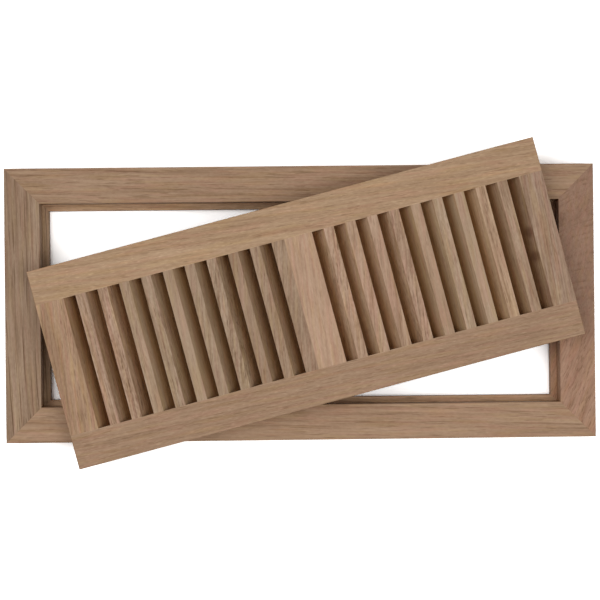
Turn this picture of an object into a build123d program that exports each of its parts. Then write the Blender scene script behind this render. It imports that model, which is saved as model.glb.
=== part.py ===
from build123d import *
import math
import os

# Flush-mount wooden floor register. A mitred frame lies level with the floor boards round a duct opening
# and has a ledge inside it. The louvred insert that drops onto the ledge has been lifted out and lies
# askew across the frame. X runs along the frame, Z is up, and the frame stands on Z = 0.

# Frame, in millimetres
frame_length = 380.0
frame_width = 176.6
frame_thickness = 19.0
frame_face_width = 22.8  # top face of a frame rail, from its outer edge to the rebate
ledge_width = 4.0  # what the insert rests on when it is in place
seat_clearance = 0.5  # play on each side of the insert in its seat
edge_easing = 0.5  # sanded radius on the long outer edges

# Insert
insert_thickness = 12.7  # also the depth of the rebate, so that the insert sits flush
insert_rail_width = 22.2
rail_end_easing = 0.3  # at the end grain of those rails
end_stile_left_width = 18.2  # at the top face, as are the next four
end_stile_right_width = 15.2
centre_stile_width = 27.5
louver_width = 6.8
slot_width = 7.5  # wanted gap between louvers; the gaps are then evened out along each half
louver_lean = 35.0  # degrees from upright, the lower edges towards the middle
louver_easing = 0.4

# Stub tenons of the stiles and louvers, and their mortises in the insert's rails
tenon_length = 6.0
tenon_shoulder = 2.6  # left above and below the tenon
tenon_set_in = 0.9  # left at each leaning side of the tenon
tenon_end_set_in = 4.0  # left at the outer side of an end stile, so that its mortise stays closed
glue_gap = 0.1
mortise_relief = 0.6  # room for glue past the end of a tenon

# How the insert lies on the frame
insert_turn = 14.4  # degrees, anticlockwise from above
insert_shift = 3.7  # along X

# Derived values
ledge_thickness = frame_thickness - insert_thickness
insert_length = frame_length - 2 * (frame_face_width + seat_clearance)
insert_width = frame_width - 2 * (frame_face_width + seat_clearance)
opening_width = insert_width - 2 * insert_rail_width
slope = math.tan(math.radians(louver_lean))
louver_field = (insert_length - end_stile_left_width - centre_stile_width - end_stile_right_width) / 2
louver_count = round((louver_field - slot_width) / (louver_width + slot_width))
louver_pitch = (louver_field + louver_width) / (louver_count + 1)

# Planes of the insert: its underside, and the upright section along its length
turn = math.radians(insert_turn)
insert_base = Plane(
    origin=(insert_shift, 0, frame_thickness),
    x_dir=(math.cos(turn), math.sin(turn), 0),
)
insert_section = Plane(
    origin=insert_base.origin,
    x_dir=insert_base.x_dir,
    z_dir=-insert_base.y_dir,
)

# Cross members of the insert: name, left and right edges at the top face, and how each side leans.
# A lean of 1 carries a side to the right on its way down, -1 to the left, and 0 is upright.
half_length = insert_length / 2
left_end = -half_length + end_stile_left_width
right_end = half_length - end_stile_right_width
cross_members = [
    ("end_stile_left", -half_length, left_end, 0, 1),
    ("centre_stile", left_end + louver_field, right_end - louver_field, 1, -1),
    ("end_stile_right", right_end, half_length, -1, 0),
]
for number in range(1, louver_count + 1):
    left_place = left_end + number * louver_pitch
    right_place = right_end - number * louver_pitch
    cross_members.append((f"louver_left_{number}", left_place - louver_width, left_place, 1, 1))
    cross_members.append((f"louver_right_{number}", right_place, right_place + louver_width, -1, -1))


def member_outline(left, right, left_lean, right_lean, low, high):
    """Corners of a cross member's section between two heights above the insert's underside."""
    low_run = (insert_thickness - low) * slope
    high_run = (insert_thickness - high) * slope
    return (
        (left + left_lean * low_run, low),
        (right + right_lean * low_run, low),
        (right + right_lean * high_run, high),
        (left + left_lean * high_run, high),
    )


def tenon_outline(left, right, left_lean, right_lean, room=0.0):
    """Corners of the tenon on a cross member, or with room round it, of its mortise."""
    left_set_in = tenon_set_in if left_lean else tenon_end_set_in
    right_set_in = tenon_set_in if right_lean else tenon_end_set_in
    return member_outline(
        left + left_set_in - room,
        right - right_set_in + room,
        left_lean,
        right_lean,
        tenon_shoulder - room,
        insert_thickness - tenon_shoulder + room,
    )


os.makedirs("parts", exist_ok=True)

# Frame rails: an L section with its outer edge on the section's Y axis, cut to a mitre at both ends
frame_rails = (
    ("frame_rail_front", Vector(0, 1, 0), frame_width, frame_length),
    ("frame_rail_back", Vector(0, -1, 0), frame_width, frame_length),
    ("frame_rail_left", Vector(1, 0, 0), frame_length, frame_width),
    ("frame_rail_right", Vector(-1, 0, 0), frame_length, frame_width),
)
for name, inward, span, length in frame_rails:
    along = inward.cross(Vector(0, 0, 1))
    outer_edge = inward * (-span / 2)
    rebate_corner = (frame_face_width, ledge_thickness)
    with BuildPart() as frame_rail:
        with BuildSketch(Plane(outer_edge, x_dir=inward, z_dir=along)) as section:
            with BuildLine():
                Polyline(
                    (0, 0),
                    (frame_face_width + ledge_width, 0),
                    (frame_face_width + ledge_width, ledge_thickness),
                    rebate_corner,
                    (frame_face_width, frame_thickness),
                    (0, frame_thickness),
                    close=True,
                )
            make_face()
            arrises = section.vertices().sort_by_distance(rebate_corner)[1:]
            fillet(arrises, radius=edge_easing)
        extrude(amount=length / 2, both=True)
        for end in (-1, 1):
            corner = outer_edge + along * (end * length / 2)
            split(bisect_by=Plane(corner, z_dir=along * -end - inward), keep=Keep.TOP)
    frame_rail.part.label = name
    export_step(frame_rail.part, f"parts/{name}.step")

# Insert rails: full length, with a mortise in the inner edge for every cross member. The inner edges stay
# crisp, because the faces are sanded flush once the insert is glued up.
insert_line = Axis(insert_base.origin, insert_base.x_dir)
for name, side in (("insert_rail_front", 1), ("insert_rail_back", -1)):
    inner_edge = insert_section.offset(side * opening_width / 2)
    outward = inner_edge.z_dir * side
    rail_end = Plane(inner_edge.origin, x_dir=outward, z_dir=insert_base.x_dir * -side)
    with BuildPart() as insert_rail:
        with BuildSketch(rail_end) as section:
            Rectangle(insert_rail_width, insert_thickness, align=Align.MIN)
            fillet(section.vertices().group_by(Axis.X)[-1], radius=edge_easing)
        extrude(amount=half_length, both=True)
        for end in (0, -1):
            end_edges = insert_rail.faces().sort_by(insert_line)[end].edges()
            chamfer(end_edges.sort_by(Axis(inner_edge.origin, outward))[1:], length=rail_end_easing)
        with BuildSketch(inner_edge):
            for member in cross_members:
                Polygon(*tenon_outline(*member[1:], room=glue_gap), align=None)
        extrude(amount=side * (tenon_length + mortise_relief), mode=Mode.SUBTRACT)
    insert_rail.part.label = name
    export_step(insert_rail.part, f"parts/{name}.step")

# Stiles and louvers: the section between the rails, and a slimmer one on through both tenons
for name, *edges in cross_members:
    with BuildPart() as cross_member:
        with BuildSketch(insert_section) as section:
            Polygon(*member_outline(*edges, low=0, high=insert_thickness), align=None)
            fillet(section.vertices(), radius=louver_easing)
        extrude(amount=opening_width / 2, both=True)
        with BuildSketch(insert_section):
            Polygon(*tenon_outline(*edges), align=None)
        extrude(amount=opening_width / 2 + tenon_length, both=True)
    cross_member.part.label = name
    export_step(cross_member.part, f"parts/{name}.step")
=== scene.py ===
"""Finishes a louvred oak floor register: each board gets its own cut of oak, and a stage shows it."""

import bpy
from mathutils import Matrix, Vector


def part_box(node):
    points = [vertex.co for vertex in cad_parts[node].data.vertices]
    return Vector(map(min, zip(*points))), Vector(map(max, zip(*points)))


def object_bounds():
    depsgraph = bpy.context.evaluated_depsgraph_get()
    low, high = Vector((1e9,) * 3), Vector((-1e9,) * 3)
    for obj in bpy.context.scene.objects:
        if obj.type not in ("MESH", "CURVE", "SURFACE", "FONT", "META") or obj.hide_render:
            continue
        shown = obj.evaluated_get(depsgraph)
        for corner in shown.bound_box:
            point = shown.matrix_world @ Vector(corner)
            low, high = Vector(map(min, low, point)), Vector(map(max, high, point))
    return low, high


bl_info = {
    "name": "Oak floor register",
    "version": (1, 0, 0),
    "blender": (4, 5, 0),
    "location": "View3D > Sidebar > Register",
    "description": "Gives the boards of a louvred floor register their oak and sets up its stage",
    "category": "Object",
}

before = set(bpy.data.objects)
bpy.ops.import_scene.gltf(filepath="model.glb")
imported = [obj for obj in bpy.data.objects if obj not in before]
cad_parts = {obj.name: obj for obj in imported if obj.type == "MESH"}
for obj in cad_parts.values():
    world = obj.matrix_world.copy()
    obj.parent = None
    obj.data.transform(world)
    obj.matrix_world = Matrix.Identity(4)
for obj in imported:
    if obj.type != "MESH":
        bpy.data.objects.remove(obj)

import math
import random
from dataclasses import dataclass

import bpy
from bpy.props import FloatProperty, FloatVectorProperty, PointerProperty
from mathutils import Vector

CAD_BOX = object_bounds()
MILLIMETRE = 0.001
FLOOR_SIDE = 30.0

LOUVERS = tuple(name for name in sorted(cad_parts) if name.startswith("louver"))
LEDGE_LIMIT = 8 * MILLIMETRE  # a height between the frame's ledge and its top face

# Millimetres below the top face of a louver or stile over which its leaning sides change: Hollow is painted
# shade that comes in lower down, and Depths is painted warm bounce light
SLOT_DEPTHS = {"Hollow": (1.5, 4.5), "Depths": (3.0, 9.0)}

# Blotches: how far above the board's middle they sit, their dark core and their reach, in millimetres
BLOTCH_RISE = 3.0
BLOTCH_CORE = 1.2
BLOTCH_REACH = 5.2

# What parts of a board add to its light, and its sides to the contrast of its fibres, as shares. The share on
# the lower leaning sides is painted shade
HOLLOW_PAINTED_SHADE = -0.22
END_GRAIN_LIGHT = -0.2
JOINT_LIGHT = -0.06
SIDE_FIBRES = -0.3

SEED_STEP = (131.0, 57.0, 91.0)  # millimetres between the oak of one seed and of the next
SANDED_RADIUS = MILLIMETRE
BUMP_STRENGTH = 0.35
BUMP_DEPTH = 0.3 * MILLIMETRE
SPECULAR = 0.3

# Oak of the louvers, its shade and how marked its grain is, from each end of the insert to its middle
STRIPS = {
    "left": (
        ("rose", 0.93, 2.0),
        ("rose", 0.99, 1.9),
        ("ash", 1.0, 1.0),
        ("ash", 0.91, 1.3),
        ("ash", 0.99, 0.5),
        ("ash", 0.92, 1.0),
        ("ash", 0.92, 1.9),
        ("sand", 0.81, 1.0),
        ("sand", 0.84, 1.3),
    ),
    "right": (
        ("sand", 0.88, 1.2),
        ("sand", 1.12, 1.2),
        ("ash", 1.03, 0.5),
        ("ash", 1.0, 1.1),
        ("sand", 0.97, 0.7),
        ("rose", 1.0, 1.6),
        ("rose", 1.05, 0.9),
        ("rose", 1.04, 1.2),
        ("rose", 1.07, 1.6),
    ),
}


def middle(name):
    """Centre of a node's box."""
    low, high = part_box(name)
    return (low + high) / 2


def insert_heading():
    """Angle, in degrees, at which the insert lies on the frame, from its two outermost louvers."""
    along = middle("louver_right_1") - middle("louver_left_1")
    return math.degrees(math.atan2(along.y, along.x))


# Sizes and colours that a user would change


def tone(label, description, red, green, blue):
    """A colour of the oak, as it looks on a screen."""
    return FloatVectorProperty(
        name=label,
        description=description,
        subtype="COLOR_GAMMA",
        min=0.0,
        max=1.0,
        default=(red / 255, green / 255, blue / 255),
    )


def tint(label, description, red, green, blue):
    """What the red, green and blue of the oak are multiplied by, in some part of it."""
    return FloatVectorProperty(
        name=label, description=description, subtype="COLOR", min=0.0, max=2.0, default=(red, green, blue)
    )


def millimetres(label, description, default):
    """A size in millimetres."""
    return FloatProperty(name=label, description=description, default=default, min=0.01, soft_max=500.0)


def share(label, description, default):
    """A part of a whole, from 0 to 1."""
    return FloatProperty(
        name=label, description=description, default=default, min=0.0, max=1.0, subtype="FACTOR"
    )


def point(label, description, *default):
    """A place in the scene."""
    return FloatVectorProperty(
        name=label, description=description, default=default, subtype="TRANSLATION", unit="LENGTH"
    )


def watts(label, description, default):
    """The power of a lamp."""
    return FloatProperty(name=label, description=description, default=default, unit="POWER")


class OakSettings(bpy.types.PropertyGroup):
    """Tones of the oak and the scale of its grain."""

    sand: tone("Sand", "Plain tan oak", 163, 134, 108)
    straw: tone("Straw", "Yellower oak", 165, 134, 104)
    rose: tone("Rose", "Oak with a pink cast", 163, 133, 109)
    ash: tone("Ash", "Greyer oak", 161, 135, 110)
    umber: tone("Umber", "Darker oak with a warm cast", 156, 125, 98)
    russet: tone("Russet", "Darker, redder oak of the frame", 152, 117, 94)
    pore: tone("Pore", "Open pores", 104, 77, 54)
    blush: tint("Blush", "Pink streaks", 1.05, 0.94, 0.97)
    honey: tint("Honey", "Yellow streaks", 1.02, 1.01, 0.87)
    sawn: tint("Sawn sides", "Sides of a board, against its face", 0.84, 0.78, 0.68)
    # Painted warm bounce light: warmer and a little paler, low on the leaning sides in the slots
    depths: tint("Depths", "Lower part of the leaning sides, against their top", 1.35, 1.07, 0.7)
    stain: tint("Stain", "Dark blotches", 0.6, 0.5, 0.46)
    # Painted light: the frame's ledge, down in its rebate, is made paler than its top face
    ledge: tint("Ledge", "Ledge of the frame, against its top face", 1.38, 1.36, 1.3)
    pore_width: millimetres("Pore width", "Width of a pore line, in millimetres", 0.7)
    fibre_length: millimetres("Fibre length", "Length of a fibre streak, in millimetres", 20.0)
    fibre_width: millimetres("Fibre width", "Width of a fibre streak, in millimetres", 1.5)
    pore_depth: share("Pore darkness", "How dark the pores are", 0.4)
    ring_depth: share("Ring contrast", "How much the growth rings show", 0.06)
    fibre_depth: share("Fibre contrast", "How much the fibre streaks show", 0.22)
    cloud_depth: share("Cloud contrast", "How much the tone drifts over a board", 0.06)
    fleck_depth: share("Fleck brightness", "How bright the ray flecks are", 0.16)
    edge_wear: share("Sanded edges", "How much paler the sanded edges are", 0.28)


class StageSettings(bpy.types.PropertyGroup):
    """Camera, light and floor."""

    camera_place: point("Camera", "Where the camera is", -0.0142, -0.0005, 0.9854)
    camera_turn: FloatVectorProperty(
        name="Camera turn",
        description="How the camera is turned from looking straight down",
        subtype="EULER",
        default=tuple(math.radians(angle) for angle in (0.15, -0.82, -0.61)),
    )
    lens: FloatProperty(name="Lens", description="Focal length, in millimetres", default=90.0, unit="CAMERA")
    left_place: point("Left softbox", "Where the left softbox is", -0.85, 0.2, 1.3)
    right_place: point("Right softbox", "Where the right softbox is", 0.8, -0.4, 1.3)
    softbox_size: FloatProperty(
        name="Softbox size", description="Side of a softbox", default=1.1, unit="LENGTH"
    )
    left_power: watts("Left power", "Light of the left softbox", 9.45)
    right_power: watts("Right power", "Light of the right softbox", 9.8)
    fill: share("Fill", "Light from all round", 0.355)
    floor_bounce: share("Floor bounce", "Share of its light that the floor throws back", 0.3)
    floor_white: FloatProperty(name="Floor white", description="How bright the floor looks", default=2.2)


# Nodes


class NodeBench:
    """Adds nodes to one tree and links them."""

    def __init__(self, tree):
        self.tree = tree

    def add(self, kind, inputs=None, **settings):
        node = self.tree.nodes.new(kind)
        for key, value in settings.items():
            setattr(node, key, value)
        for socket, value in (inputs or {}).items():
            self.feed(node.inputs[socket], value)
        return node

    def feed(self, socket, value):
        if isinstance(value, bpy.types.NodeSocket):
            self.tree.links.new(value, socket)
        else:
            socket.default_value = value

    def math(self, operation, *values):
        return self.add("ShaderNodeMath", dict(enumerate(values)), operation=operation).outputs[0]

    def vector(self, operation, *values):
        node = self.add("ShaderNodeVectorMath", dict(enumerate(values)), operation=operation)
        return node.outputs["Value" if operation in ("LENGTH", "DOT_PRODUCT") else "Vector"]

    def scaled(self, vector, scale):
        inputs = {"Vector": vector, "Scale": scale}
        return self.add("ShaderNodeVectorMath", inputs, operation="SCALE").outputs["Vector"]

    def step(self, value, start, end):
        """0 below start, 1 above end, and a smooth rise between them."""
        inputs = {"Value": value, "From Min": start, "From Max": end}
        return self.add("ShaderNodeMapRange", inputs, interpolation_type="SMOOTHSTEP").outputs[0]

    def noise(self, place, detail):
        inputs = {"Vector": place, "Scale": 1.0, "Detail": detail}
        return self.add("ShaderNodeTexNoise", inputs)

    def blend(self, share_of_second, first, second, mode="MIX"):
        """One colour blended with another."""
        node = self.add("ShaderNodeMix", data_type="RGBA", blend_type=mode)
        for index, value in ((0, share_of_second), (6, first), (7, second)):
            self.feed(node.inputs[index], value)
        return node.outputs[2]

    def blend_values(self, share_of_second, first, second):
        change = self.math("SUBTRACT", second, first)
        return self.math("MULTIPLY_ADD", change, share_of_second, first)


def new_group(name, inputs, outputs):
    """A shader node group with named sockets, and its input and output nodes."""
    tree = bpy.data.node_groups.new(name, "ShaderNodeTree")
    for in_out, sockets in (("INPUT", inputs), ("OUTPUT", outputs)):
        for label, kind in sockets.items():
            tree.interface.new_socket(label, in_out=in_out, socket_type="NodeSocket" + kind)
    bench = NodeBench(tree)
    return bench, bench.add("NodeGroupInput").outputs, bench.add("NodeGroupOutput").inputs


def grain_group(name):
    """Masks of solid oak, in millimetres with X along the grain and its rings round a pith."""
    bench, given, put = new_group(
        name,
        {
            "Place": "Vector",
            "Seed": "Float",
            "Pith": "Vector",
            "Ring Width": "Float",
            "Wander": "Float",
            "Pore Length": "Float",
            "Pore Width": "Float",
            "Fibre Length": "Float",
            "Fibre Width": "Float",
        },
        dict.fromkeys(("Ring", "Pores", "Flecks", "Fibre", "Cloud", "Blush", "Honey"), "Float"),
    )

    def stretched(length, width, detail=1.0, shift=(0.0, 0.0, 0.0)):
        """Noise drawn out along the grain. A shift takes it from another place in the oak."""
        size = bench.add("ShaderNodeCombineXYZ", {"X": length, "Y": width, "Z": width}).outputs[0]
        return bench.noise(bench.vector("DIVIDE", bench.vector("ADD", place, shift), size), detail)

    place = bench.vector("ADD", given["Place"], bench.scaled(SEED_STEP, given["Seed"]))

    # Growth rings, whose lines wander along the board, whose widths differ and which fade here and there
    drift = stretched(length=110.0, width=30.0).outputs["Color"]
    sway = bench.scaled(bench.vector("SUBTRACT", drift, (0.5, 0.5, 0.5)), given["Wander"])
    from_pith = bench.vector("SUBTRACT", bench.vector("ADD", given["Place"], sway), given["Pith"])
    radius = bench.vector("LENGTH", bench.vector("MULTIPLY", from_pith, (0.0, 1.0, 1.0)))
    rings = bench.math("DIVIDE", radius, given["Ring Width"])
    good_years = bench.add("ShaderNodeTexNoise", {"Scale": 0.4, "Detail": 1.0}, noise_dimensions="1D")
    bench.feed(good_years.inputs["W"], bench.math("ADD", rings, given["Seed"]))
    rings = bench.math("MULTIPLY_ADD", good_years.outputs[0], 2.2, rings)
    year = bench.math("FRACT", rings)
    late = bench.step(year, 0.1, 0.6)
    early = bench.math("MULTIPLY", bench.step(year, 0.0, 0.12), bench.math("SUBTRACT", 1.0, late))
    fade = stretched(length=60.0, width=7.0, shift=(9.0, 71.0, 3.0)).outputs[0]
    bench.feed(put["Ring"], bench.math("MULTIPLY", early, bench.step(fade, 0.36, 0.62)))

    # Pores: short dark lines that crowd in the early wood of each ring
    pore_noise = stretched(given["Pore Length"], given["Pore Width"]).outputs[0]
    crowded = bench.math("MULTIPLY_ADD", early, 0.07, pore_noise)
    bench.feed(put["Pores"], bench.step(crowded, 0.62, 0.71))

    # Ray flecks: short pale lines
    fleck_noise = stretched(length=4.5, width=0.6, shift=(47.0, 19.0, 67.0)).outputs[0]
    bench.feed(put["Flecks"], bench.step(fleck_noise, 0.57, 0.68))

    # Fibres: fine streaks, broader ones among them, and a short rough tooth
    broad_length = bench.math("MULTIPLY", given["Fibre Length"], 2.0)
    broad_width = bench.math("MULTIPLY", given["Fibre Width"], 2.6)
    layers = (
        (0.5, stretched(given["Fibre Length"], given["Fibre Width"], detail=2.0)),
        (0.25, stretched(broad_length, broad_width, shift=(71.0, 29.0, 13.0))),
        (0.25, stretched(length=3.0, width=1.2, shift=(3.0, 17.0, 29.0))),
    )
    fibre = 0.0
    for weight, layer in layers:
        fibre = bench.math("MULTIPLY_ADD", bench.step(layer.outputs[0], 0.33, 0.67), weight, fibre)
    bench.feed(put["Fibre"], fibre)

    # Drifting tone, and streaks of other colours
    cloud = stretched(length=80.0, width=9.0, detail=2.0)
    blush = stretched(length=24.0, width=2.4, detail=2.0, shift=(37.0, 11.0, 5.0))
    honey = stretched(length=30.0, width=3.0, detail=2.0, shift=(5.0, 83.0, 61.0))
    bench.feed(put["Cloud"], bench.step(cloud.outputs[0], 0.3, 0.7))
    bench.feed(put["Blush"], bench.step(blush.outputs[0], 0.45, 0.68))
    bench.feed(put["Honey"], bench.step(honey.outputs[0], 0.45, 0.68))
    return bench.tree


def edge_group(name):
    """Masks of a board's sanded edges, of the joint lines at its ends, and of its ends and sides."""
    bench, given, put = new_group(
        name,
        {"Length Axis": "Vector", "Radius": "Float"},
        dict.fromkeys(("Sanded", "Joint", "End Grain", "Sawn", "Leaning"), "Float"),
    )
    # How far the rounded normal turns away marks an edge, and which way it turns tells an end from a side
    normal = bench.add("ShaderNodeNewGeometry").outputs["Normal"]
    rounded = bench.add("ShaderNodeBevel", {"Radius": given["Radius"]}, samples=6).outputs[0]
    bend = bench.math("SUBTRACT", 1.0, bench.vector("DOT_PRODUCT", rounded, normal))
    meets = bench.step(bend, 0.01, 0.2)
    endways = bench.math("ABSOLUTE", bench.vector("DOT_PRODUCT", rounded, given["Length Axis"]))
    joint = bench.step(endways, 0.05, 0.4)
    bench.feed(put["Sanded"], bench.math("MULTIPLY", meets, bench.math("SUBTRACT", 1.0, joint)))
    bench.feed(put["Joint"], bench.math("MULTIPLY", meets, joint))

    # Ends face along the board, and sides face less upwards than the top
    facing = bench.math("ABSOLUTE", bench.vector("DOT_PRODUCT", normal, given["Length Axis"]))
    bench.feed(put["End Grain"], bench.step(facing, 0.5, 0.9))
    upright = bench.vector("DOT_PRODUCT", normal, (0.0, 0.0, 1.0))
    bench.feed(put["Sawn"], bench.step(upright, 0.95, 0.6))
    leaning = bench.math("MULTIPLY", bench.step(upright, 0.2, 0.4), bench.step(upright, 0.95, 0.8))
    bench.feed(put["Leaning"], leaning)
    return bench.tree


def finish_group(name):
    """Bare sanded oak, from the tone of a board and the masks of its grain and edges, with painted light and
    shade on the frame's ledge and the leaning sides in the slots.
    """
    tints = ("Blush", "Honey", "Sawn", "Depths", "Stain", "Ledge")
    grain_masks = ("Ring", "Pores", "Flecks", "Fibre", "Cloud")
    masks = (*grain_masks, *tints, "Hollow", "Sanded", "Joint", "End Grain", "Leaning")
    contrasts = ("Ring Contrast", "Fibre Contrast", "Cloud Contrast")
    shares = ("Cast Share", "Pore Darkness", "Fleck Brightness", "Painted Flank Light", "Edge Wear")
    bench, given, put = new_group(
        name,
        {
            "Tone": "Color",
            "Pore Tone": "Color",
            **{tint_name + " Tint": "Color" for tint_name in tints},
            **dict.fromkeys((*masks, *contrasts, *shares), "Float"),
        },
        {"Color": "Color", "Roughness": "Float", "Height": "Float"},
    )

    def swing(mask, contrast):
        """From 1 - contrast to 1 + contrast, as the mask goes from 0 to 1."""
        centred = bench.math("MULTIPLY_ADD", mask, 2.0, -1.0)
        return bench.math("MULTIPLY_ADD", centred, contrast, 1.0)

    level = bench.math("SUBTRACT", 1.0, given["Sawn"])
    amounts = {
        "Blush": bench.math("MULTIPLY", given["Blush"], given["Cast Share"]),
        "Honey": bench.math("MULTIPLY", given["Honey"], given["Cast Share"]),
        "Sawn": given["Sawn"],
        # Painted warm bounce light low on the leaning sides
        "Depths": bench.math("MULTIPLY", given["Depths"], given["Leaning"]),
        "Stain": bench.math("MULTIPLY", given["Stain"], given["Leaning"]),
        # Painted light on the frame's level ledge
        "Ledge": bench.math("MULTIPLY", given["Ledge"], level),
    }
    color = given["Tone"]
    for tint_name in tints:
        color = bench.blend(amounts[tint_name], color, given[tint_name + " Tint"], "MULTIPLY")

    late_wood = bench.math("SUBTRACT", 1.0, given["Ring"])
    # Painted shade on the lower leaning sides
    painted_hollow_shade = bench.math("MULTIPLY", given["Hollow"], given["Leaning"])
    wear = bench.math("MULTIPLY", given["Edge Wear"], bench.math("MULTIPLY_ADD", given["Fibre"], 1.2, 0.3))
    calm = bench.math("MULTIPLY_ADD", given["Sawn"], SIDE_FIBRES, 1.0)
    light = swing(given["Fibre"], bench.math("MULTIPLY", given["Fibre Contrast"], calm))
    for factor in (
        swing(given["Cloud"], given["Cloud Contrast"]),
        swing(late_wood, given["Ring Contrast"]),
        bench.math("MULTIPLY_ADD", given["Flecks"], given["Fleck Brightness"], 1.0),
        # Painted light on the leaning sides
        bench.math("MULTIPLY_ADD", given["Leaning"], given["Painted Flank Light"], 1.0),
        # Painted shade on the lower leaning sides
        bench.math("MULTIPLY_ADD", painted_hollow_shade, HOLLOW_PAINTED_SHADE, 1.0),
        bench.math("MULTIPLY_ADD", given["End Grain"], END_GRAIN_LIGHT, 1.0),
        bench.math("MULTIPLY_ADD", given["Sanded"], wear, 1.0),
        bench.math("MULTIPLY_ADD", given["Joint"], JOINT_LIGHT, 1.0),
    ):
        light = bench.math("MULTIPLY", light, factor)

    # Dark wood is redder than pale wood
    powers = {"Red": 0.86, "Green": 1.05, "Blue": 1.27}
    warm = {channel: bench.math("POWER", light, power) for channel, power in powers.items()}
    color = bench.blend(1.0, color, bench.add("ShaderNodeCombineColor", warm).outputs[0], "MULTIPLY")
    pores = bench.math("MULTIPLY", given["Pores"], given["Pore Darkness"])
    bench.feed(put["Color"], bench.blend(pores, color, given["Pore Tone"]))

    # Fibres and pores are rougher, and pores and early wood lie lower
    rough = bench.math("MULTIPLY_ADD", given["Fibre"], 0.12, 0.56)
    bench.feed(put["Roughness"], bench.math("MULTIPLY_ADD", given["Pores"], 0.15, rough))
    relief = bench.math("MULTIPLY_ADD", given["Fibre"], 0.3, 0.5)
    relief = bench.math("MULTIPLY_ADD", given["Ring"], -0.15, relief)
    bench.feed(put["Height"], bench.math("MULTIPLY_ADD", given["Pores"], -0.5, relief))
    return bench.tree


# Boards


@dataclass
class Cut:
    """How a board was sawn from its log. Angles are in degrees and sizes in millimetres."""

    tone: str
    heading: float  # of the board's length, anticlockwise from X
    slope: float  # of the grain against the board's length
    pith: tuple  # across the board and up, from its middle
    ring: float  # width of a growth ring
    seed: float
    dive: float = 0.0  # of the grain below the board's face
    shade: float = 1.0  # lighter above 1
    rings: float = 1.0  # how much the rings show
    wander: float = 3.0  # how far the grain sways
    cast: float = 0.65  # how much pink and yellow come and go
    cloud: float = 1.0  # how much the tone drifts
    pores: float = 1.0  # how dark the pores are
    pore_length: float = 9.0
    flecks: float = 0.5  # how bright the ray flecks are
    fibre: float = 1.0  # how much the fibre streaks show
    streak: float = 1.0  # how long the fibre streaks are
    # Painted light on the leaning sides
    painted_flank_light: float = 0.0  # lighter leaning sides above 0


@dataclass
class Band:
    """Other wood on the right of a line along a board, as seen along its heading."""

    cut: Cut
    edge: float  # of the line, to the left of the board's middle, in millimetres
    turn: float = 0.0  # of the line against the board's length, in degrees
    soft: float = 0.4  # how far to each side of the line the woods mix, in millimetres


def linear(display):
    """Scene-linear colour of a colour as it looks on a screen."""
    return [part / 12.92 if part <= 0.04045 else ((part + 0.055) / 1.055) ** 2.4 for part in display]


def shared_group(name, make):
    """The node group of that name, which is made when it is first asked for."""
    return bpy.data.node_groups.get(name) or make(name)


def board_place(bench, name, turn, dive=0.0):
    """Place on a board in millimetres from its middle, with X turned from the scene's X, in degrees."""
    inputs = {
        "Vector": bench.add("ShaderNodeTexCoord").outputs["Object"],
        "Location": middle(name),
        "Rotation": (0.0, math.radians(dive), math.radians(turn)),
        "Scale": (MILLIMETRE, MILLIMETRE, MILLIMETRE),
    }
    return bench.add("ShaderNodeMapping", inputs, vector_type="TEXTURE").outputs[0]


def cut_oak(bench, name, cut, masks):
    """Colour, roughness and height of one cut of oak, as outputs of a node."""
    oak = bpy.context.scene.register_oak
    heading = math.radians(cut.heading)
    grain = bench.add("ShaderNodeGroup", node_tree=shared_group("oak_grain", grain_group))
    grain_values = {
        "Place": board_place(bench, name, cut.heading + cut.slope, cut.dive),
        "Seed": cut.seed,
        "Pith": (0.0, *cut.pith),
        "Ring Width": cut.ring,
        "Wander": cut.wander,
        "Pore Length": cut.pore_length,
        "Pore Width": oak.pore_width,
        "Fibre Length": oak.fibre_length * cut.streak,
        "Fibre Width": oak.fibre_width,
    }
    edges = bench.add("ShaderNodeGroup", node_tree=shared_group("board_edges", edge_group))
    edge_values = {
        "Length Axis": (math.cos(heading), math.sin(heading), 0.0),
        "Radius": SANDED_RADIUS,
    }
    finish = bench.add("ShaderNodeGroup", node_tree=shared_group("bare_oak", finish_group))
    finish_values = {
        "Tone": (*(part * cut.shade for part in linear(getattr(oak, cut.tone))), 1.0),
        "Pore Tone": (*linear(oak.pore), 1.0),
        "Ring Contrast": oak.ring_depth * cut.rings,
        "Fibre Contrast": oak.fibre_depth * cut.fibre,
        "Cloud Contrast": oak.cloud_depth * cut.cloud,
        "Cast Share": cut.cast,
        "Pore Darkness": oak.pore_depth * cut.pores,
        "Fleck Brightness": oak.fleck_depth * cut.flecks,
        # Painted light on the leaning sides
        "Painted Flank Light": cut.painted_flank_light,
        "Edge Wear": oak.edge_wear,
        **masks,
    }
    for part in ("blush", "honey", "sawn", "depths", "stain", "ledge"):
        finish_values[part.title() + " Tint"] = (*getattr(oak, part), 1.0)
    for source in (grain, edges):
        finish_values.update({output.name: output for output in source.outputs})
    for node, values in ((grain, grain_values), (edges, edge_values), (finish, finish_values)):
        for socket, value in values.items():
            bench.feed(node.inputs[socket], value)
    return finish.outputs


def depth_mask(bench, start, end):
    """0 above the height of its start, 1 below that of its end, in metres."""
    place = bench.add("ShaderNodeTexCoord").outputs["Object"]
    height = bench.add("ShaderNodeSeparateXYZ", {"Vector": place}).outputs["Z"]
    return bench.step(height, start, end)


def blotch_mask(bench, name, heading, apart, middle_of_pair):
    """Two soft round blotches near the top face, one each side of a point along the board."""
    place = bench.add("ShaderNodeSeparateXYZ", {"Vector": board_place(bench, name, heading)}).outputs
    from_pair = bench.math("ABSOLUTE", bench.math("SUBTRACT", place["X"], middle_of_pair))
    along = bench.math("SUBTRACT", from_pair, apart / 2)
    up = bench.math("SUBTRACT", place["Z"], BLOTCH_RISE)
    from_centre = bench.add("ShaderNodeCombineXYZ", {"X": along, "Z": up}).outputs[0]
    outside = bench.step(bench.vector("LENGTH", from_centre), BLOTCH_CORE, BLOTCH_REACH)
    return bench.math("SUBTRACT", 1.0, outside)


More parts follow.
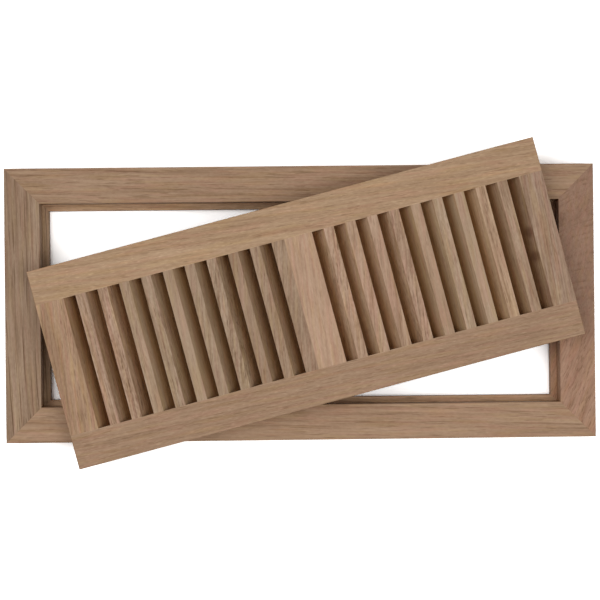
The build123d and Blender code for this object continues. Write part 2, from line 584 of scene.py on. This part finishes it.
def oak_board(name, cut, band=None, on_frame=False, in_slots=False, blotches=None):
    """Gives one board its own oak, with other wood beside a line if it has a band.

    A board of the frame gets painted light on its ledge, and one in the slots painted shade and painted warm
    bounce light low on its leaning sides. The blotches are how far apart a pair is and where its middle is
    along the board, in millimetres.
    """
    material = bpy.data.materials.new("oak_" + name)
    material.use_nodes = True
    material.node_tree.nodes.clear()
    bench = NodeBench(material.node_tree)
    masks = {}
    if on_frame:
        # Painted light that makes the ledge paler
        masks["Ledge"] = depth_mask(bench, LEDGE_LIMIT + MILLIMETRE, LEDGE_LIMIT)
    if in_slots:
        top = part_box(name)[1].z
        # Painted shade and painted warm bounce light low on the leaning sides
        for mask, (start, end) in SLOT_DEPTHS.items():
            masks[mask] = depth_mask(bench, top - start * MILLIMETRE, top - end * MILLIMETRE)
    if blotches:
        masks["Stain"] = blotch_mask(bench, name, cut.heading, *blotches)
    oak = cut_oak(bench, name, cut, masks)
    color, roughness, height = oak["Color"], oak["Roughness"], oak["Height"]
    if band:
        other = cut_oak(bench, name, band.cut, masks)
        place = board_place(bench, name, cut.heading + band.turn)
        across = bench.add("ShaderNodeSeparateXYZ", {"Vector": place}).outputs["Y"]
        inside = bench.step(across, band.edge + band.soft, band.edge - band.soft)
        color = bench.blend(inside, color, other["Color"])
        roughness = bench.blend_values(inside, roughness, other["Roughness"])
        height = bench.blend_values(inside, height, other["Height"])

    relief = {"Strength": BUMP_STRENGTH, "Distance": BUMP_DEPTH, "Height": height}
    surface = bench.add(
        "ShaderNodeBsdfPrincipled",
        {
            "Base Color": color,
            "Roughness": roughness,
            "Normal": bench.add("ShaderNodeBump", relief).outputs[0],
            "Specular IOR Level": SPECULAR,
        },
    )
    bench.add("ShaderNodeOutputMaterial", {"Surface": surface.outputs[0]})
    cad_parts[name].material_slots[0].material = material


class REGISTER_OT_frame_rails(bpy.types.Operator):
    """Cut the four mitred rails of the frame from their oak"""

    bl_idname = "floor_register.frame_rails"
    bl_label = "Frame rails"

    def execute(self, context):
        front = Cut("umber", 0, -1.1, shade=0.98, pith=(40, -70), ring=2.8, rings=1.6, cloud=0.6, seed=1.3)
        back = Cut("umber", 0, -0.8, shade=0.92, pith=(-50, -60), ring=3.4, rings=2, cloud=0.5, seed=2.1)
        left = Cut("sand", 90, 1.5, shade=0.775, pith=(70, -40), ring=3.6, rings=1.4, cloud=3, seed=3.7)
        left_end = Cut("sand", 90, 3, shade=0.775, pith=(70, -40), ring=3.6, rings=1.4, cloud=3, seed=3.1)
        # The upper part of the right rail is darker: partly its own oak, partly painted shade where the
        # insert's shadow falls
        right = Cut("russet", 90, -12, dive=25, shade=0.79, pith=(-11, -40), ring=2.5, rings=2, seed=4.9)
        right_end = Cut("russet", 90, -23, dive=6, shade=1.04, pith=(15, -60), ring=3.2, seed=4.4)
        for cut, pore_length, streak, fibre in (
            (front, 14, 2.0, 0.9),
            (back, 12, 2.0, 1.0),
            (left, 30, 2.5, 1.1),
            (left_end, 40, 2.5, 1.15),
            (right, 5, 1.0, 0.7),
            (right_end, 6, 1.0, 0.9),
        ):
            cut.pore_length = pore_length
            cut.streak = streak
            cut.fibre = fibre
            cut.wander = 2.0
        left.pores = 1.8
        left_end.pores = 2.4
        right.pores = 0.6
        oak_board("frame_rail_front", front, on_frame=True)
        oak_board("frame_rail_back", back, on_frame=True)
        oak_board("frame_rail_left", left, band=Band(left_end, edge=-5, turn=-90, soft=25), on_frame=True)
        oak_board("frame_rail_right", right, band=Band(right_end, edge=-15, turn=-90, soft=14), on_frame=True)
        return {"FINISHED"}


class REGISTER_OT_insert_rails(bpy.types.Operator):
    """Cut the two long rails of the insert from their oak"""

    bl_idname = "floor_register.insert_rails"
    bl_label = "Insert rails"

    def execute(self, context):
        heading = insert_heading()
        front = Cut("umber", heading, -3, shade=0.94, pith=(50, -60), ring=2.6, seed=5.2)
        back = Cut("straw", heading, -6, pith=(-40, -70), ring=2.8, seed=6.4)
        for cut in (front, back):
            cut.cloud = 0.5
            cut.pores = 0.75
            cut.pore_length = 8
            cut.flecks = 1.2
            cut.fibre = 0.8
            cut.streak = 1.5
        oak_board("insert_rail_front", front)
        oak_board("insert_rail_back", back)
        return {"FINISHED"}


class REGISTER_OT_stiles(bpy.types.Operator):
    """Cut the end stiles and the centre stile of the insert from their oak"""

    bl_idname = "floor_register.stiles"
    bl_label = "Stiles"

    def execute(self, context):
        heading = insert_heading() + 90
        left = Cut("umber", heading, -7, shade=1.04, pith=(20, -50), ring=3.0, seed=7.5)
        left.cast = 1.0
        left.cloud = 3.0
        left.streak = 2.0
        # Painted light on its leaning sides
        left.painted_flank_light = 0.03
        centre = Cut("sand", heading, -14, shade=0.81, pith=(-12, -25), ring=2.0, rings=1.6, seed=8.6)
        centre.fibre = 1.3
        pale = Cut("rose", heading, -6, dive=3, shade=1.18, pith=(-40, -25), ring=2.6, seed=8.9)
        pale.pores = 0.4
        pale.fibre = 0.7
        right = Cut("rose", heading, -5, shade=0.795, pith=(60, -20), ring=2.2, rings=2.0, seed=9.1)
        right.cast = 0.9
        right.fibre = 1.3
        right.streak = 1.5
        oak_board("end_stile_left", left, in_slots=True)
        oak_board("centre_stile", centre, band=Band(pale, edge=4.9), in_slots=True)
        oak_board("end_stile_right", right, in_slots=True, blotches=(16.0, -1.0))
        return {"FINISHED"}


class REGISTER_OT_louvers(bpy.types.Operator):
    """Cut the louvers of the insert from their oak, each from a strip of its own"""

    bl_idname = "floor_register.louvers"
    bl_label = "Louvers"

    def execute(self, context):
        heading = insert_heading() + 90
        for name in LOUVERS:
            side, number = name.split("_")[1:]
            tone_name, shade, marked = STRIPS[side][int(number) - 1]
            draw = random.Random(name)
            cut = Cut(
                tone=tone_name,
                heading=heading,
                slope=draw.uniform(-12, -8) if int(number) > 5 else draw.uniform(-4, 0),
                dive=draw.uniform(-2, 2),
                shade=shade,
                pith=(draw.uniform(-60, 60), draw.uniform(-60, -25)),
                ring=draw.uniform(1.8, 3.2),
                cast=draw.uniform(0.6, 0.9),
                pores=draw.uniform(0.7, 0.9) * marked,
                fibre=marked,
                streak=1.6,
                # Painted light on the leaning sides, more on the right half's
                painted_flank_light=0.12 if side == "left" else 0.22,
                seed=draw.uniform(20, 60),
            )
            oak_board(name, cut, in_slots=True)
        return {"FINISHED"}


# Stage


def seen_rays(bench):
    """1 for the rays that show a surface, directly, in a reflection or through glass, and 0 for light."""
    path = bench.add("ShaderNodeLightPath").outputs
    seen = bench.math("MAXIMUM", path["Is Camera Ray"], path["Is Glossy Ray"])
    return bench.math("MAXIMUM", seen, path["Is Transmission Ray"])


def floor_material(bounce, white):
    """Pale floor, which looks white in the open and keeps the register's shadow."""
    material = bpy.data.materials.new("pale_floor")
    material.use_nodes = True
    material.node_tree.nodes.clear()
    bench = NodeBench(material.node_tree)
    paleness = bench.math("MULTIPLY_ADD", seen_rays(bench), white - bounce, bounce)
    paint = bench.add("ShaderNodeBsdfDiffuse", {"Color": paleness})
    bench.add("ShaderNodeOutputMaterial", {"Surface": paint.outputs[0]})
    return material


def white_world(fill):
    """Even light from all round, which shows as white."""
    world = bpy.data.worlds.new("white_room")
    world.use_nodes = True
    world.node_tree.nodes.clear()
    bench = NodeBench(world.node_tree)
    strength = bench.math("MULTIPLY_ADD", seen_rays(bench), 1.0 - fill, fill)
    room = bench.add("ShaderNodeBackground", {"Color": (1.0, 1.0, 1.0, 1.0), "Strength": strength})
    bench.add("ShaderNodeOutputWorld", {"Surface": room.outputs[0]})
    return world


class REGISTER_OT_stage(bpy.types.Operator):
    """Add the floor, the two softboxes and the camera that looks down on the register"""

    bl_idname = "floor_register.stage"
    bl_label = "Stage"

    def execute(self, context):
        stage = context.scene.register_stage
        bpy.ops.mesh.primitive_plane_add(size=FLOOR_SIDE, location=(0, 0, CAD_BOX[0].z))
        floor = context.object
        floor.name = "floor"
        bpy.ops.object.transform_apply(location=True)
        floor.data.materials.append(floor_material(stage.floor_bounce, stage.floor_white))

        for name, place, power in (
            ("left_softbox", stage.left_place, stage.left_power),
            ("right_softbox", stage.right_place, stage.right_power),
        ):
            aim = Vector(place).to_track_quat("Z", "Y").to_euler()
            bpy.ops.object.light_add(type="AREA", location=place, rotation=aim)
            softbox = context.object
            softbox.name = name
            softbox.data.size = stage.softbox_size
            softbox.data.energy = power

        bpy.ops.object.camera_add(location=stage.camera_place, rotation=stage.camera_turn)
        camera = context.object
        camera.name = "camera"
        camera.data.lens = stage.lens
        camera.data.sensor_fit = "HORIZONTAL"
        context.scene.camera = camera

        context.scene.world = white_world(stage.fill)
        context.scene.view_settings.view_transform = "Standard"
        return {"FINISHED"}


class REGISTER_PT_panel(bpy.types.Panel):
    """The register's boards and stage, in the 3D view's sidebar"""

    bl_idname = "REGISTER_PT_panel"
    bl_label = "Oak floor register"
    bl_space_type = "VIEW_3D"
    bl_region_type = "UI"
    bl_category = "Register"

    def draw(self, context):
        for operator in OPERATORS:
            self.layout.operator(operator.bl_idname)
        for settings in (context.scene.register_oak, context.scene.register_stage):
            box = self.layout.box()
            for key in settings.bl_rna.properties.keys():
                if key not in ("rna_type", "name"):
                    box.prop(settings, key)


OPERATORS = (
    REGISTER_OT_frame_rails,
    REGISTER_OT_insert_rails,
    REGISTER_OT_stiles,
    REGISTER_OT_louvers,
    REGISTER_OT_stage,
)
CLASSES = (OakSettings, StageSettings, *OPERATORS, REGISTER_PT_panel)


def register():
    for cls in CLASSES:
        bpy.utils.register_class(cls)
    bpy.types.Scene.register_oak = PointerProperty(type=OakSettings)
    bpy.types.Scene.register_stage = PointerProperty(type=StageSettings)


def unregister():
    del bpy.types.Scene.register_stage
    del bpy.types.Scene.register_oak
    for cls in reversed(CLASSES):
        bpy.utils.unregister_class(cls)


def main():
    register()
    bpy.ops.object.select_all(action="DESELECT")
    bpy.ops.floor_register.frame_rails()
    bpy.ops.floor_register.insert_rails()
    bpy.ops.floor_register.stiles()
    bpy.ops.floor_register.louvers()
    bpy.ops.floor_register.stage()


if __name__ == "__main__":
    main()
